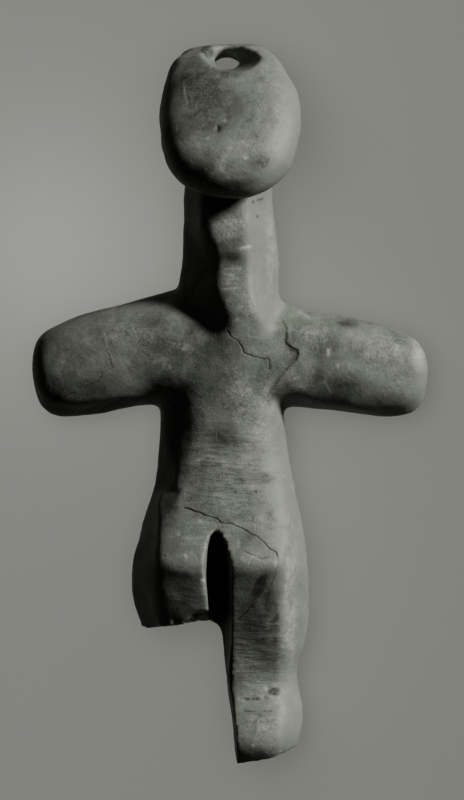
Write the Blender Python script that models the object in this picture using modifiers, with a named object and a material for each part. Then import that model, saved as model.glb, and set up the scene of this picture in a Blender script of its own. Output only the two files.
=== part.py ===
"""Carved stone figurine with outstretched arms, lying on its back, built as one faceted solid.

The figure lies in the row frame: X runs across the arms, Y from the toes to the crown,
Z up from the surface that the flat back rests on. The origin is below the middle of the figure.
The free form is written in hundredths of the figure's length, so a station at 46 is
46 per cent of the way from the toes to the crown.
"""

import math

import bmesh
import bpy
import numpy as np
from mathutils import Matrix, Vector

# Driving sizes, in metres and degrees
figure_length = 0.100
hole_diameter = 0.0036
hole_mouth_diameter = 0.0094
hole_back_mouth_diameter = 0.0062
head_tilt = 32.0
triangle_budget = 8600

# The grain of the carving: the fused masses are resampled at this share of the length,
# then worn smooth by this many passes of this strength.
voxel_share = 0.0050
wear_passes = 12
wear_strength = 0.5

# Points closer than this share of the length are one point where a cutter leaves a seam
seam_share = 0.0002

hundredth = figure_length / 100
ring_points = 56
ring_count = 90

stone_colour = (0.23, 0.24, 0.205, 1.0)
stone_roughness = 0.55

# Torso, neck and legs, from below the toes to inside the head.
# height, left side, right side, back, front, squareness at the front left, front right and back,
# then where the front face turns into the left side and into the right side
body_stations = (
    (-1.6, -10.0, 8.4, 2.6, 8.8, 3.0, 2.6, 3.0, -6.5, 5.0),
    (0.6, -10.6, 8.8, 1.6, 11.0, 3.0, 2.6, 3.0, -7.0, 5.4),
    (2.0, -10.9, 9.4, 1.1, 12.2, 3.0, 2.6, 3.0, -7.4, 6.0),
    (3.4, -11.2, 9.8, 0.8, 12.6, 3.0, 2.6, 3.0, -7.5, 6.3),
    (5.2, -11.4, 10.15, 0.6, 12.1, 3.0, 2.6, 3.0, -7.6, 6.5),
    (7.8, -11.4, 10.3, 0.7, 10.8, 3.0, 2.6, 3.0, -7.6, 6.6),
    (9.7, -11.3, 9.9, 1.0, 9.6, 3.0, 2.6, 3.0, -7.6, 6.4),
    (11.2, -11.3, 9.7, 1.3, 9.2, 3.0, 2.6, 3.0, -7.7, 6.3),
    (12.8, -11.3, 9.65, 1.4, 9.5, 3.0, 2.6, 3.0, -7.7, 6.3),
    (16.0, -11.6, 10.2, 1.2, 10.9, 3.2, 2.7, 3.0, -8.2, 6.6),
    (18.8, -12.2, 10.65, 0.8, 12.2, 3.6, 2.8, 3.0, -8.8, 6.7),
    (22.3, -13.15, 10.9, 0.1, 13.9, 4.0, 2.8, 3.0, -9.6, 6.7),
    (26.0, -13.6, 10.95, -0.5, 15.8, 4.0, 2.8, 3.0, -9.9, 6.7),
    (27.7, -13.45, 10.85, -0.7, 16.6, 4.0, 2.8, 3.0, -9.9, 6.8),
    (29.2, -13.1, 10.7, -0.7, 16.1, 4.0, 2.8, 3.0, -9.7, 7.2),
    (33.5, -12.0, 10.1, -0.6, 14.3, 4.0, 2.8, 3.0, -9.6, 7.6),
    (37.0, -11.1, 9.4, -0.4, 12.8, 4.0, 2.8, 3.0, -9.2, 6.9),
    (40.3, -10.4, 8.7, -0.3, 11.4, 2.5, 2.5, 3.0, -7.7, 6.6),
    (43.0, -10.0, 8.2, -0.3, 10.7, 2.2, 2.3, 3.0, -8.4, 6.5),
    (46.0, -9.8, 7.8, -0.3, 10.8, 2.0, 2.2, 3.0, -8.9, 6.5),
    (49.5, -9.7, 7.5, -0.3, 11.2, 2.0, 2.1, 3.0, -8.9, 6.5),
    (54.0, -9.8, 8.0, -0.3, 11.7, 2.0, 2.1, 3.0, -7.6, 6.6),
    (57.5, -9.4, 8.0, -0.2, 12.2, 2.1, 2.2, 3.0, -4.4, 5.4),
    (60.5, -8.6, 7.7, 0.1, 13.3, 2.3, 2.3, 3.0, 0.2, 4.4),
    (63.0, -7.7, 7.3, 0.8, 14.0, 2.4, 2.4, 3.0, -0.4, 3.4),
    (66.0, -7.1, 6.9, 1.6, 13.6, 2.4, 2.4, 2.8, -1.5, 2.8),
    (68.5, -6.85, 6.75, 2.0, 13.2, 2.4, 2.5, 2.7, -1.4, 2.5),
    (71.5, -6.65, 6.6, 2.3, 13.6, 2.5, 2.5, 2.6, -1.5, 2.3),
    (75.0, -6.55, 6.4, 2.6, 14.2, 2.6, 2.5, 2.6, -2.7, 2.3),
    (79.0, -6.35, 6.0, 3.4, 14.4, 2.6, 2.5, 2.5, -3.2, 2.4),
    (83.0, -6.2, 5.8, 6.0, 15.0, 2.5, 2.4, 2.5, -3.0, 2.6),
    (86.0, -5.8, 5.4, 9.2, 15.4, 2.4, 2.4, 2.4, -2.8, 2.6),
    (88.0, -4.6, 4.4, 11.6, 14.8, 2.2, 2.2, 2.2, -2.6, 2.4),
)

# Both arms in one sweep, from the left tip to the right tip as the viewer sees them.
# across, lower edge, upper edge, back, front, squareness at the lower front, upper front and back,
# then where the front face turns down to the lower edge and up to the upper edge
arm_stations = (
    (-27.65, 54.2, 55.6, 5.0, 6.2, 2.2, 2.2, 2.2, 54.7, 55.2),
    (-27.3, 52.6, 57.8, 3.4, 7.9, 2.3, 2.3, 2.4, 53.8, 56.8),
    (-26.4, 50.0, 59.5, 2.5, 9.2, 2.3, 2.5, 2.6, 52.2, 58.0),
    (-25.0, 48.6, 60.5, 2.0, 9.9, 2.3, 2.6, 2.8, 51.2, 58.8),
    (-23.0, 48.0, 61.4, 1.6, 10.3, 2.3, 2.6, 3.0, 50.6, 59.6),
    (-20.0, 48.1, 62.4, 1.3, 10.6, 2.3, 2.6, 3.0, 50.6, 60.4),
    (-15.0, 49.1, 63.8, 1.0, 10.9, 2.2, 2.6, 3.0, 51.4, 61.4),
    (-11.0, 49.8, 64.9, 0.8, 11.1, 2.0, 2.6, 3.0, 51.6, 62.0),
    (-7.0, 49.0, 65.8, 0.7, 11.3, 2.0, 2.6, 3.0, 51.4, 61.6),
    (0.0, 48.0, 65.4, 0.7, 11.5, 2.1, 2.6, 3.0, 50.8, 60.6),
    (5.0, 48.6, 64.6, 0.7, 11.3, 2.2, 2.6, 3.0, 51.0, 60.4),
    (8.5, 49.4, 63.8, 0.8, 10.9, 2.3, 2.6, 3.0, 51.6, 60.2),
    (12.5, 49.1, 62.5, 1.0, 10.6, 2.4, 2.6, 3.0, 52.4, 60.0),
    (16.0, 48.6, 62.1, 1.2, 10.3, 2.4, 2.6, 3.0, 52.4, 59.8),
    (20.0, 48.2, 61.3, 1.5, 9.9, 2.4, 2.6, 3.0, 51.8, 59.2),
    (23.6, 48.2, 60.3, 1.9, 9.4, 2.3, 2.6, 2.8, 51.0, 58.4),
    (25.6, 48.7, 59.4, 2.4, 8.9, 2.3, 2.5, 2.6, 51.2, 57.8),
    (27.0, 50.2, 57.8, 3.2, 8.0, 2.3, 2.4, 2.4, 52.4, 56.8),
    (27.5, 52.0, 56.2, 4.3, 7.0, 2.2, 2.2, 2.2, 53.4, 55.6),
    (27.65, 53.4, 54.8, 5.2, 6.2, 2.2, 2.2, 2.2, 53.9, 54.4),
)

# Head, from the chin to the crown, in its own tilted frame.
# along the face, left side, right side, back, front, squareness at the front left, front right and back,
# then where the face turns into the left side and into the right side
head_centre = (0.0, 88.9, 14.0)
head_stations = (
    (-12.4, -1.2, 1.6, -0.8, 0.8, 2.2, 2.2, 2.2, -0.8, 1.0),
    (-11.9, -3.3, 3.5, -2.2, 2.2, 2.3, 2.2, 2.2, -2.8, 2.8),
    (-10.9, -5.4, 5.3, -3.1, 3.2, 2.4, 2.2, 2.4, -4.8, 4.3),
    (-9.3, -7.4, 7.0, -3.8, 4.0, 2.5, 2.2, 2.6, -6.8, 5.8),
    (-7.0, -8.8, 8.4, -4.1, 4.5, 2.5, 2.2, 2.6, -8.1, 7.0),
    (-4.0, -9.5, 9.4, -4.2, 4.8, 2.5, 2.2, 2.6, -8.7, 7.8),
    (0.0, -9.75, 9.8, -4.2, 4.9, 2.5, 2.2, 2.6, -8.9, 8.2),
    (3.6, -9.6, 9.7, -4.1, 4.7, 2.5, 2.2, 2.6, -8.8, 8.1),
    (6.6, -9.0, 8.8, -4.0, 4.2, 2.5, 2.3, 2.6, -8.1, 7.2),
    (8.2, -8.5, 8.1, -4.0, 3.7, 2.6, 2.4, 2.6, -7.4, 6.2),
    (9.6, -8.1, 7.5, -3.9, 2.7, 2.6, 2.5, 2.6, -6.8, 5.6),
    (11.2, -7.4, 6.7, -3.9, 1.3, 2.6, 2.6, 2.6, -6.0, 5.0),
    (12.4, -6.8, 6.2, -3.9, 0.2, 2.6, 2.6, 2.5, -5.4, 4.7),
    (13.4, -6.0, 5.6, -3.8, -0.8, 2.5, 2.5, 2.4, -4.6, 4.3),
    (14.1, -4.7, 4.9, -3.4, -1.4, 2.4, 2.4, 2.4, -3.4, 3.8),
    (14.45, -3.0, 3.8, -2.8, -1.9, 2.2, 2.2, 2.2, -2.2, 3.0),
)

# Suspension hole, drilled from both faces: its narrowest point on the head, and the way it runs
hole_waist = (-0.5, 10.45, -0.5)
hole_direction = (-0.28, -0.15, -1.0)

# Each drill starts this far beyond the waist, widens to its mouth over this run and reaches past the face
drill_overlap = 0.6
drill_run = 4.2
drill_reach = 8.0

# Groove between the legs, looked at from the front: across and height, clockwise from the tip
groove_outline = (
    (-1.9, 32.6), (-1.2, 32.0), (-0.65, 30.7), (-0.2, 29.0), (0.1, 27.0), (0.2, 24.0),
    (0.3, 18.0), (0.65, 9.0), (1.1, 1.0), (1.3, -4.0), (-4.5, -4.0), (-4.0, 10.0),
    (-3.1, 20.0), (-3.4, 24.0), (-3.5, 27.0), (-3.3, 29.4), (-3.0, 30.8), (-2.6, 32.0),
)
# depth above the resting plane, narrowing of the left wall, of the right wall, and of the tip
groove_depths = (
    (20.0, -0.5, -0.5, -0.3),
    (15.2, 0.0, 0.0, 0.0),
    (13.6, 0.45, 0.1, 0.3),
    (8.0, 0.65, 0.35, 0.6),
    (5.4, 0.9, 0.9, 1.2),
    (4.6, 1.4, 1.5, 2.4),
)
groove_middle = -1.6
groove_tip_run = 3.0

# The broken leg: edge of the break from the outer side to the web, then down the kept leg
break_outline = (
    (-20.0, 18.6), (-12.2, 18.75), (-11.0, 18.95), (-9.4, 19.05), (-8.0, 19.2),
    (-6.6, 19.3), (-5.2, 19.45), (-4.0, 19.5), (-3.2, 19.45), (-2.4, 19.1), (-1.6, 18.4),
    (-1.15, 17.6), (-0.95, 16.4), (-0.5, 14.3), (-0.2, 11.5), (0.05, 8.8),
    (0.3, 6.0), (0.6, 3.2), (0.9, 0.0), (1.0, -6.0), (-20.0, -6.0),
)
# depth, and how far the break surface has run up the leg there: outer side, and beside the groove
break_depths = (
    (-3.0, 0.0, -0.2),
    (1.0, 0.0, 0.0),
    (4.0, 0.35, 0.1),
    (8.0, -0.15, 0.6),
    (11.5, 0.25, 1.2),
    (14.0, 0.0, 2.2),
    (18.0, 0.1, 2.6),
)
# The broken face lies above this height; its inner share grows from the first place across to the
# second, and fades again over the web
break_floor = 16.0
break_inner = (-7.0, -3.6)
web_fade = (-2.4, -0.8)

# Facet scooped off the corner of the hip: its middle, the way it faces, its radius and its depth
scoop_middle = (-8.7, 34.8, 12.9)
scoop_facing = (-0.45, 0.45, 0.77)
scoop_radius = 9.0
scoop_depth = 0.9

# Blocks that take off the sole and the flat of the back: size, centre and turn in degrees
sole_block = ((40, 10, 60), (0.0, -54.85, 8.0), (14.0, 0.0, 9.0))
rest_block = ((80, 120, 10), (0.0, 0.0, -5.0), (0.0, 0.0, 0.0))


def clear_scene():
    for old in list(bpy.data.objects):
        bpy.data.objects.remove(old)


def collection_named(name):
    made = bpy.data.collections.new(name)
    bpy.context.scene.collection.children.link(made)
    return made


def eased(stations, count):
    """The stations joined by a monotone cubic, read at evenly spaced places along the sweep."""
    table = np.array(stations, float)
    steps = np.abs(np.diff(table[:, :5], axis=0)).max(axis=1)
    run = np.concatenate([[0.0], np.cumsum(steps)])
    slope = np.diff(table, axis=0) / steps[:, None]
    tangent = np.zeros_like(table)
    before, after = slope[:-1], slope[1:]
    agree = before * after > 0
    total = np.where(agree, before + after, 1.0)
    tangent[1:-1] = np.where(agree, 2 * before * after / total, 0.0)
    tangent[0], tangent[-1] = slope[0], slope[-1]
    place = np.linspace(0, run[-1], count)
    at = np.clip(np.searchsorted(run, place, side="right") - 1, 0, len(run) - 2)
    span = steps[at][:, None]
    t = ((place - run[at]) / steps[at])[:, None]
    return (
        (2 * t**3 - 3 * t**2 + 1) * table[at]
        + (t**3 - 2 * t**2 + t) * span * tangent[at]
        + (3 * t**2 - 2 * t**3) * table[at + 1]
        + (t**3 - t**2) * span * tangent[at + 1]
    )


def section(low, high, back, front, low_corner, high_corner, back_corner, low_edge, high_edge):
    """One squared oval as (across, depth) points, planed from each edge of its front face to its side."""
    angle = np.linspace(0, 2 * math.pi, ring_points, endpoint=False)
    corner = np.where(np.cos(angle) < 0, low_corner, high_corner)
    corner = np.where(np.sin(angle) < 0, back_corner, corner)
    reach = np.abs(np.cos(angle)) ** (2 / corner) * np.sign(np.cos(angle))
    rise = np.abs(np.sin(angle)) ** (2 / corner) * np.sign(np.sin(angle))
    across = (low + high) / 2 + (high - low) / 2 * reach
    side = (back + front) / 2
    depth = side + (front - back) / 2 * rise
    low_plane = front - (low_edge - across) * (front - side) / (low_edge - low)
    high_plane = front - (across - high_edge) * (front - side) / (high - high_edge)
    return across, np.minimum(depth, np.minimum(low_plane, high_plane))


def mesh_from_rings(name, rings):
    """A closed mesh through rings of points, with a flat cap at each end."""
    shape = bmesh.new()
    loops = [[shape.verts.new(Vector(p) * hundredth) for p in ring] for ring in rings]
    for ring, following in zip(loops, loops[1:]):
        for i in range(len(ring)):
            j = (i + 1) % len(ring)
            shape.faces.new((ring[i], ring[j], following[j], following[i]))
    shape.faces.new(loops[0][::-1])
    shape.faces.new(loops[-1])
    bmesh.ops.recalc_face_normals(shape, faces=shape.faces)
    mesh = bpy.data.meshes.new(name)
    shape.to_mesh(mesh)
    shape.free()
    return bpy.data.objects.new(name, mesh)


def body_mass():
    rings = []
    for height, *shape in eased(body_stations, ring_count):
        across, depth = section(*shape)
        rings.append([(x, height - 50, z) for x, z in zip(across, depth)])
    return mesh_from_rings("body_mass", rings)


def arm_mass():
    rings = []
    for across, *shape in eased(arm_stations, ring_count):
        height, depth = section(*shape)
        rings.append([(across, y - 50, z) for y, z in zip(height, depth)])
    return mesh_from_rings("arm_mass", rings)


def head_frame():
    """The head's own frame: X across, Y up the face, Z out of the face."""
    x, height, z = head_centre
    place = Matrix.Translation(Vector((x, height - 50, z)))
    return place @ Matrix.Rotation(math.radians(-head_tilt), 4, "X")


def head_mass():
    tilted = head_frame()
    rings = []
    for along, *shape in eased(head_stations, ring_count):
        across, out = section(*shape)
        rings.append([tilted @ Vector((u, along, w)) for u, w in zip(across, out)])
    return mesh_from_rings("head_mass", rings)


def fused(masses, collection):
    """The masses as one stone: joined, resampled into one skin and worn smooth."""
    joined = bmesh.new()
    for mass in masses:
        joined.from_mesh(mass.data)
        bpy.data.objects.remove(mass)
    mesh = bpy.data.meshes.new("figurine")
    joined.to_mesh(mesh)
    joined.free()
    figurine = bpy.data.objects.new("figurine", mesh)
    collection.objects.link(figurine)
    skin = figurine.modifiers.new("one skin", "REMESH")
    skin.mode = "VOXEL"
    skin.voxel_size = voxel_share * figure_length
    wear = figurine.modifiers.new("wear", "SMOOTH")
    wear.factor = wear_strength
    wear.iterations = wear_passes
    return figurine


def as_cutter(cutter, collection):
    collection.objects.link(cutter)
    cutter.hide_render = True
    cutter.display_type = "WIRE"
    return cutter


def groove_cutter():
    outline = np.array(groove_outline)
    tip = outline[:, 1].max()
    rings = []
    for depth, left_in, right_in, tip_down in groove_depths:
        x, y = outline[:, 0].copy(), outline[:, 1].copy()
        off_tip = np.clip((tip - y) / groove_tip_run, 0.0, 1.0)
        x += np.where(x < groove_middle, left_in, -right_in) * off_tip
        y -= tip_down * (1 - off_tip)
        rings.append([(px, py - 50, depth) for px, py in zip(x, y)])
    return mesh_from_rings("groove_cutter", rings)


def break_cutter():
    outline = np.array(break_outline)
    on_break = outline[:, 1] > break_floor
    inner_share = np.interp(outline[:, 0], break_inner, (0.0, 1.0))
    beside_web = np.interp(outline[:, 0], web_fade, (1.0, 0.0))
    rings = []
    for depth, outer_run, inner_run in break_depths:
        run = outer_run * (1 - inner_share) + inner_run * inner_share * beside_web
        y = outline[:, 1] + np.where(on_break, run, 0.0)
        rings.append([(px, py - 50, depth) for px, py in zip(outline[:, 0], y)])
    return mesh_from_rings("break_cutter", rings)


def drill_cutters():
    """Two cones that meet at the waist of the suspension hole, one from each face of the head."""
    frame = head_frame()
    waist = frame @ Vector(hole_waist) * hundredth
    inward = (frame.to_3x3() @ Vector(hole_direction)).normalized()
    reach = drill_reach * hundredth
    overlap = drill_overlap * hundredth
    made = []
    for name, mouth, way in (
        ("front_drill", hole_mouth_diameter, -inward),
        ("back_drill", hole_back_mouth_diameter, inward),
    ):
        widening = (mouth - hole_diameter) / 2 / (drill_run * hundredth)
        near = hole_diameter / 2 - widening * overlap
        far = hole_diameter / 2 + widening * reach
        shape = bmesh.new()
        bmesh.ops.create_cone(
            shape, cap_ends=True, segments=28, radius1=near, radius2=far, depth=reach + overlap
        )
        mesh = bpy.data.meshes.new(name)
        shape.to_mesh(mesh)
        shape.free()
        drill = bpy.data.objects.new(name, mesh)
        drill.rotation_mode = "QUATERNION"
        drill.rotation_quaternion = way.to_track_quat("Z", "Y")
        drill.location = waist + way * (reach - overlap) / 2
        made.append(drill)
    return made


def scoop_cutter():
    """A ball that sinks into the corner of the hip by the scoop's depth."""
    x, height, z = scoop_middle
    facing = Vector(scoop_facing).normalized()
    shape = bmesh.new()
    bmesh.ops.create_uvsphere(shape, u_segments=64, v_segments=40, radius=scoop_radius * hundredth)
    mesh = bpy.data.meshes.new("scoop_cutter")
    shape.to_mesh(mesh)
    shape.free()
    ball = bpy.data.objects.new("scoop_cutter", mesh)
    ball.location = (Vector((x, height - 50, z)) + facing * (scoop_radius - scoop_depth)) * hundredth
    return ball


def box_cutter(name, size, centre, turn):
    """A box whose size and centre are in hundredths and whose turn is in degrees."""
    shape = bmesh.new()
    bmesh.ops.create_cube(shape, size=1.0)
    bmesh.ops.scale(shape, vec=Vector(size) * hundredth, verts=shape.verts)
    mesh = bpy.data.meshes.new(name)
    shape.to_mesh(mesh)
    shape.free()
    box = bpy.data.objects.new(name, mesh)
    box.location = Vector(centre) * hundredth
    box.rotation_euler = [math.radians(a) for a in turn]
    return box


def tidy_seams(solid):
    seams = solid.modifiers.new("tidy seams", "WELD")
    seams.merge_threshold = seam_share * figure_length


def cut(solid, cutter):
    step = solid.modifiers.new(cutter.name, "BOOLEAN")
    step.operation = "DIFFERENCE"
    step.solver = "EXACT"
    step.object = cutter


def stone_material():
    stone = bpy.data.materials.new("soft_green_stone")
    stone.use_nodes = True
    shader = stone.node_tree.nodes["Principled BSDF"]
    shader.inputs["Base Color"].default_value = stone_colour
    shader.inputs["Roughness"].default_value = stone_roughness
    shader.inputs["Metallic"].default_value = 0.0
    return stone


def lighten(figurine):
    """Collapses the fine skin to the triangle budget, and keeps the edges that the cutters left."""
    graph = bpy.context.evaluated_depsgraph_get()
    mesh = figurine.evaluated_get(graph).to_mesh()
    triangles = sum(len(face.vertices) - 2 for face in mesh.polygons)
    figurine.evaluated_get(graph).to_mesh_clear()
    thin = figurine.modifiers.new("fewer triangles", "DECIMATE")
    thin.ratio = min(1.0, triangle_budget / triangles)
    thin.use_collapse_triangulate = True


def main():
    clear_scene()
    parts = collection_named("stone_figurine")
    cutters = collection_named("cutters")
    figurine = fused([body_mass(), arm_mass(), head_mass()], parts)
    sole = box_cutter("sole_cutter", *sole_block)
    for cutter in (sole, scoop_cutter(), groove_cutter(), break_cutter(), *drill_cutters()):
        cut(figurine, as_cutter(cutter, cutters))
        tidy_seams(figurine)
    lighten(figurine)
    rest = box_cutter("rest_cutter", *rest_block)
    cut(figurine, as_cutter(rest, cutters))
    figurine.data.materials.append(stone_material())
    bpy.context.view_layer.update()


main()
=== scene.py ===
# Carved figurine of soft green stone, lying on its back and looked at from above.
#
# The stone is one numpy-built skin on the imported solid: three swept masses, the groove, the drilled
# hole and the old break, then the carver's facets, file marks, cracks and chips in real millimetres.

import math

import bmesh
import bpy
import numpy as np
from mathutils import Matrix, Vector


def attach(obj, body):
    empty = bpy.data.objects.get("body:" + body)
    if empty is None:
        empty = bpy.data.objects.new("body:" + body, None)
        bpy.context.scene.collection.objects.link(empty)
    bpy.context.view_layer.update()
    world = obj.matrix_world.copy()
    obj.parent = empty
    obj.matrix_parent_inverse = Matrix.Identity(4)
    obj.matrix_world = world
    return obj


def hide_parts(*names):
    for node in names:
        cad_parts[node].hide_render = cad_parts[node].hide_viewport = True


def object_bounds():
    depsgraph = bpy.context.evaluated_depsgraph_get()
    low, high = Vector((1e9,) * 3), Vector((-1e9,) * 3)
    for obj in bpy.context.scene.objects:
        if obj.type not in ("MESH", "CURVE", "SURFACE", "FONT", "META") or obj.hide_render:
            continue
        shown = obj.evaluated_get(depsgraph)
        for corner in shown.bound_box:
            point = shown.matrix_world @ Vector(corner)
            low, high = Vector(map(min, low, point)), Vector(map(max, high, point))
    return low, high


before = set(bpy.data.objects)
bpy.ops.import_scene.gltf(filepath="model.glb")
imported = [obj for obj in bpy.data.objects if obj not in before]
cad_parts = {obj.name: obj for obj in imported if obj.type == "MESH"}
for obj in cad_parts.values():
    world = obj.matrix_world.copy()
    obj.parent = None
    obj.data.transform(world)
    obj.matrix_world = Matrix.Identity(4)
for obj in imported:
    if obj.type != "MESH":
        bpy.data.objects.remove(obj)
cadLow, cadHigh = [list(corner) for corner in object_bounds()]

millimetre = 0.001
photoFrame = {
    "width": 464,  # the picture's size in pixels
    "height": 800,
    "perMillimetre": 7.2,  # pixels to one millimetre of stone
    "originAcross": 229.75,  # where the row frame's origin falls in the picture
    "originDown": 402.75,
}


def fromPicture(points):
    # Picture pixels to millimetres: across from the origin's column, and up from its row.
    places = np.asarray(points, float).reshape(-1, 2)
    across = (places[:, 0] - photoFrame["originAcross"]) / photoFrame["perMillimetre"]
    up = (photoFrame["originDown"] - places[:, 1]) / photoFrame["perMillimetre"]
    return np.stack([across, up], axis=1)


def smoothRise(low, high, values):
    # 0 below low, 1 above high, and a smooth S between: t squared times (3 - 2 t).
    t = np.clip((values - low) / (high - low), 0.0, 1.0)
    return t * t * (3 - 2 * t)


# The stone's form, in millimetres. The heights are counted from the sole.

stoneForm = {
    "ringPoints": 72,  # points round one section
    "rings": 150,  # sections along one mass
    "grain": 0.36,  # size of the first skin's cells
    "wearPasses": 24,  # how far the carved edges are worn round
    "smoothing": 0.5,  # how far a pass brings a point towards its neighbours' middle
    "soleHeight": -50.0,
    "headCentre": (0.0, 88.9, 14.0),
    "headTilt": 32.0,
    "holeWidth": 3.6,
    "holeMouth": 9.9,
    "holeBackMouth": 4.6,
    "holeWaist": (-0.5, 10.45, -0.5),
    "holeFrontWay": (0.12, 0.0, 0.99),  # out of the hole on the face, in the head's own axes
    "holeBackWay": (0.0, 0.15, -0.99),
    "mouthRun": 4.2,  # from the waist to where a mouth has its full width
    "drillReach": 8.0,
    "drillOverlap": 0.6,  # how far a drill goes past the waist
    "drillRings": 12,
    "drillPoints": 64,
    "facetCorner": (-6.35, 37.6, 12.55),  # where the facet filed off the hip's corner begins
    "facetRise": (0.85, -0.97),  # how its plane rises across and up the figure
    "facetTop": 24.0,
    "grooveSplit": -1.6,  # the groove's left wall lies left of this
    "grooveTip": 3.0,  # length of the groove's rounded tip
    "breakFoot": 16.0,  # the outline belongs to the break above this height
    "breakTurn": (-7.0, 3.4),  # where the break turns up beside the groove, and over what width
    "breakWeb": (-0.8, 1.6),  # where it dies out on the web, and over what width
    "soleCut": ((40, 10, 60), (0.0, -54.85, 8.0), 14.0, 9.0),  # size, centre, tip and swing
    "restCut": ((80, 120, 10), (0.0, 0.0, -5.0)),
    "fineGrain": 0.335,  # size of the finished skin's cells
    "settlePasses": 2,
}

# height, left side, right side, back, front, squareness at the front left, front right and back,
# then where the front turns into the left side and into the right side
bodySections = (
    (-1.6, -10.0, 8.4, 2.6, 8.8, 3.0, 2.6, 3.0, -6.5, 5.0),
    (0.6, -10.6, 8.8, 1.6, 11.0, 3.0, 2.6, 3.0, -7.0, 5.4),
    (2.0, -10.9, 9.4, 1.1, 12.2, 3.0, 2.6, 3.0, -7.4, 6.0),
    (3.4, -11.2, 9.8, 0.8, 12.6, 3.0, 2.6, 3.0, -7.5, 6.3),
    (5.2, -11.4, 10.15, 0.6, 12.1, 3.0, 2.6, 3.0, -7.6, 6.5),
    (7.8, -11.4, 10.3, 0.7, 10.8, 3.0, 2.6, 3.0, -7.6, 6.6),
    (9.7, -11.3, 9.9, 1.0, 9.6, 3.0, 2.6, 3.0, -7.6, 6.4),
    (11.2, -11.3, 9.7, 1.3, 9.2, 3.0, 2.6, 3.0, -7.7, 6.3),
    (12.8, -11.3, 9.65, 1.4, 9.5, 3.0, 2.6, 3.0, -7.7, 6.3),
    (16.0, -11.6, 10.2, 1.2, 10.9, 3.2, 2.7, 3.0, -8.2, 6.6),
    (18.8, -12.2, 10.65, 0.8, 12.2, 3.6, 2.8, 3.0, -8.8, 6.7),
    (22.3, -13.15, 10.9, 0.1, 13.9, 4.0, 2.8, 3.0, -9.6, 6.7),
    (26.0, -13.6, 10.95, -0.5, 15.8, 4.0, 2.8, 3.0, -9.9, 6.7),
    (27.7, -13.45, 10.85, -0.7, 16.6, 4.0, 2.8, 3.0, -9.9, 6.8),
    (29.2, -13.1, 10.7, -0.7, 16.1, 4.0, 2.8, 3.0, -9.7, 7.2),
    (33.5, -12.0, 10.1, -0.6, 14.3, 4.0, 2.8, 3.0, -9.6, 7.6),
    (37.0, -11.1, 9.4, -0.4, 12.8, 4.0, 2.8, 3.0, -9.2, 6.9),
    (38.4, -10.75, 9.15, -0.35, 12.2, 2.8, 2.7, 3.0, -6.8, 6.8),
    (40.3, -10.4, 8.7, -0.3, 11.4, 2.4, 2.5, 3.0, -6.8, 6.6),
    (43.0, -10.0, 8.2, -0.3, 10.7, 2.2, 2.3, 3.0, -7.7, 6.5),
    (46.0, -9.8, 7.8, -0.3, 10.8, 2.0, 2.2, 3.0, -8.9, 6.5),
    (49.5, -9.7, 7.5, -0.3, 11.2, 2.0, 2.1, 3.0, -8.9, 6.5),
    (54.0, -9.8, 8.0, -0.3, 11.7, 2.0, 2.1, 3.0, -7.6, 6.6),
    (57.5, -9.4, 8.0, -0.2, 12.2, 2.1, 2.2, 3.0, -4.4, 5.4),
    (60.5, -8.6, 7.7, 0.1, 13.3, 2.3, 2.3, 3.0, 0.2, 4.4),
    (63.0, -7.7, 7.3, 0.8, 14.0, 2.4, 2.4, 3.0, -0.4, 3.4),
    (66.0, -7.1, 6.9, 1.6, 13.6, 2.4, 2.4, 2.8, -1.5, 2.8),
    (68.5, -6.85, 6.75, 2.0, 13.2, 2.4, 2.5, 2.7, -1.4, 2.5),
    (71.5, -6.65, 6.6, 2.3, 13.65, 2.5, 2.5, 2.6, -2.0, 2.3),
    (75.0, -6.55, 6.4, 2.6, 14.0, 2.6, 2.5, 2.6, -3.5, 2.3),
    (79.0, -6.35, 6.0, 3.4, 14.15, 2.6, 2.5, 2.5, -3.7, 2.4),
    (83.0, -6.2, 5.8, 6.0, 15.0, 2.5, 2.4, 2.5, -3.0, 2.6),
    (86.0, -5.8, 5.4, 9.2, 15.4, 2.4, 2.4, 2.4, -2.8, 2.6),
    (88.0, -4.6, 4.4, 11.6, 14.8, 2.2, 2.2, 2.2, -2.6, 2.4),
)

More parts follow.
